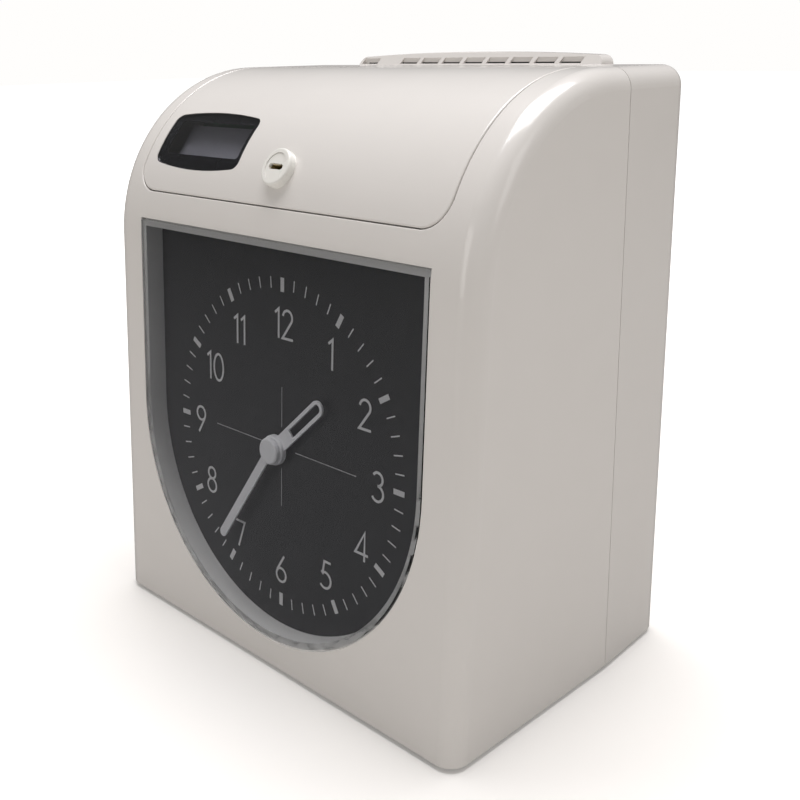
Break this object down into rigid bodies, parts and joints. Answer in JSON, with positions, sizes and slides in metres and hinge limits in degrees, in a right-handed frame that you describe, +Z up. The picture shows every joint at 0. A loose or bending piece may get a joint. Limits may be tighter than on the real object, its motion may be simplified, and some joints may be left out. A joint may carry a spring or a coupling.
{
  "type": "punch time clock",
  "caption": "Time recorder with an analog clock behind a curved-bottom window, a lockable display cover and a top slot that prints on a time card.",
  "frame": {"origin": "middle of the footprint at the bottom of the rubber feet", "axes": "+Z up, the dial faces -Y, and +X is to the right of someone reading the dial"},
  "size_m": [0.205, 0.133, 0.2367],
  "materials": {
    "shell_white": "glossy moulded ABS",
    "tray_white": "satin moulded ABS",
    "lens_clear": "clear moulded acrylic",
    "dial_black": "flat printed sheet",
    "hand_grey": "satin paint",
    "smoked_window": "smoked acrylic",
    "mask_black": "gloss black print",
    "display_glass": "liquid crystal panel",
    "lock_white": "moulded plastic",
    "lock_brass": "turned brass",
    "plated_steel": "zinc plated",
    "chassis_steel": "galvanised sheet",
    "circuit_board": "solder mask",
    "key_plastic": "moulded keys",
    "black_plastic": "fine moulded texture",
    "movement_plastic": "moulded",
    "gear_plastic": "natural acetal",
    "gear_brass": "cut brass",
    "soft_rubber": "matt rubber",
    "platen_grey": "hard rubber",
    "motor_metal": "rolled can",
    "ribbon_ink": "inked nylon",
    "core_steel": "laminated steel",
    "coil_yellow": "taped winding",
    "cell_wrap": "shrink wrap"
  },
  "bodies": {
    "root": {"front_housing": "shell_white", "rear_housing": "shell_white", "card_hood": "shell_white", "clock_tray": "tray_white", "clock_lens": "lens_clear", "dial_plate": "dial_black", "lcd_panel": "display_glass", "case_screws": "plated_steel", "hinge_pins": "plated_steel", "guide_rods": "plated_steel", "tie_bars": "plated_steel", "drive_brackets": "plated_steel", "side_plates": "chassis_steel", "chute_front": "chassis_steel", "chute_back": "chassis_steel", "display_board": "circuit_board", "main_board": "circuit_board", "key_switches": "black_plastic", "board_components": "black_plastic", "ribbon_cassette": "black_plastic", "power_inlet": "black_plastic", "speaker": "black_plastic", "base_plate": "black_plastic", "movement_case": "movement_plastic", "movement_back": "movement_plastic", "rubber_feet": "soft_rubber", "drive_belt": "soft_rubber", "platen": "platen_grey", "carriage_motor": "motor_metal", "feed_motor": "motor_metal", "ink_ribbon": "ribbon_ink", "transformer_core": "core_steel", "transformer_coil": "coil_yellow", "battery_pack": "cell_wrap"},
    "top_cover": {"top_cover": "shell_white", "display_window": "smoked_window", "display_mask": "mask_black", "lock_body": "lock_white"},
    "lock_plug": {"lock_plug": "lock_brass", "lock_face": "lock_white", "lock_cam": "plated_steel"},
    "minute_hand": {"minute_hand": "hand_grey", "cannon_pinion": "gear_brass"},
    "hour_hand": {"hour_hand": "hand_grey", "hour_wheel": "gear_plastic"},
    "minute_wheel": {"minute_wheel": "gear_plastic", "set_knob": "movement_plastic"},
    "carriage": {"carriage": "black_plastic", "print_head": "motor_metal"},
    "drive_pulley": {"drive_pulley": "gear_plastic"},
    "idler_pulley": {"idler_pulley": "gear_plastic"},
    "feed_shaft": {"feed_shaft": "plated_steel", "feed_rollers": "soft_rubber", "feed_gear": "gear_plastic"},
    "motor_pinion": {"motor_pinion": "gear_brass"},
    "pinch_rollers": {"pinch_rollers": "soft_rubber"},
    "ribbon_knob": {"ribbon_knob": "movement_plastic"},
    "key_1": {"key_1": "key_plastic"},
    "key_2": {"key_2": "key_plastic"},
    "key_3": {"key_3": "key_plastic"}
  },
  "joints": [
    {"name": "cover_hinge", "type": "hinge", "parent": "root", "child": "top_cover", "pos_m": [0, 0.0202, 0.228], "axis": [-1, 0, 0], "range_deg": [0, 75]},
    {"name": "lock_turn", "type": "hinge", "parent": "top_cover", "child": "lock_plug", "pos_m": [0, -0.0451, 0.19707], "axis": [0, -0.8572, 0.515], "range_deg": [0, 90]},
    {"name": "minute_hand_turn", "type": "hinge", "parent": "root", "child": "minute_hand", "pos_m": [0, -0.06029, 0.09078], "axis": [0, -0.9976, 0.0698], "continuous": true},
    {"name": "hour_hand_turn", "type": "hinge", "parent": "root", "child": "hour_hand", "pos_m": [0, -0.06029, 0.09078], "axis": [0, -0.9976, 0.0698], "continuous": true},
    {"name": "minute_wheel_turn", "type": "hinge", "parent": "root", "child": "minute_wheel", "pos_m": [0, -0.06113, 0.07881], "axis": [0, -0.9976, 0.0698], "continuous": true},
    {"name": "carriage_slide", "type": "slide", "parent": "root", "child": "carriage", "axis": [1, 0, 0], "range_m": [-0.028, 0.028]},
    {"name": "drive_pulley_turn", "type": "hinge", "parent": "root", "child": "drive_pulley", "pos_m": [-0.048, -0.0055, 0.17], "axis": [0, 1, 0], "range_deg": [-204, 204]},
    {"name": "idler_pulley_turn", "type": "hinge", "parent": "root", "child": "idler_pulley", "pos_m": [0.048, -0.0055, 0.17], "axis": [0, 1, 0], "range_deg": [-204, 204]},
    {"name": "feed_shaft_turn", "type": "hinge", "parent": "root", "child": "feed_shaft", "pos_m": [0, 0.0345, 0.142], "axis": [1, 0, 0], "continuous": true},
    {"name": "motor_pinion_turn", "type": "hinge", "parent": "root", "child": "motor_pinion", "pos_m": [0.064, 0.01649, 0.1316], "axis": [1, 0, 0], "continuous": true},
    {"name": "pinch_roller_turn", "type": "hinge", "parent": "root", "child": "pinch_rollers", "pos_m": [0, 0.053, 0.142], "axis": [1, 0, 0], "continuous": true},
    {"name": "ribbon_knob_turn", "type": "hinge", "parent": "root", "child": "ribbon_knob", "pos_m": [0.041, 0.016, 0.202], "axis": [0, 0, 1], "continuous": true},
    {"name": "key_1_press", "type": "slide", "parent": "root", "child": "key_1", "axis": [0, 0.7782, -0.628], "range_m": [0, 0.0008], "stiffness_N_per_m": 300},
    {"name": "key_2_press", "type": "slide", "parent": "root", "child": "key_2", "axis": [0, 0.7782, -0.628], "range_m": [0, 0.0008], "stiffness_N_per_m": 300},
    {"name": "key_3_press", "type": "slide", "parent": "root", "child": "key_3", "axis": [0, 0.7782, -0.628], "range_m": [0, 0.0008], "stiffness_N_per_m": 300}
  ],
  "couplings": [
    {"joint": "hour_hand_turn", "follows": "minute_hand_turn", "ratio": 0.083333},
    {"joint": "minute_wheel_turn", "follows": "minute_hand_turn", "ratio": -0.33333},
    {"joint": "drive_pulley_turn", "follows": "carriage_slide", "rad_per_m": 125},
    {"joint": "idler_pulley_turn", "follows": "carriage_slide", "rad_per_m": 125},
    {"joint": "motor_pinion_turn", "follows": "feed_shaft_turn", "ratio": -3.3333},
    {"joint": "pinch_roller_turn", "follows": "feed_shaft_turn", "ratio": -1.1829}
  ]
}
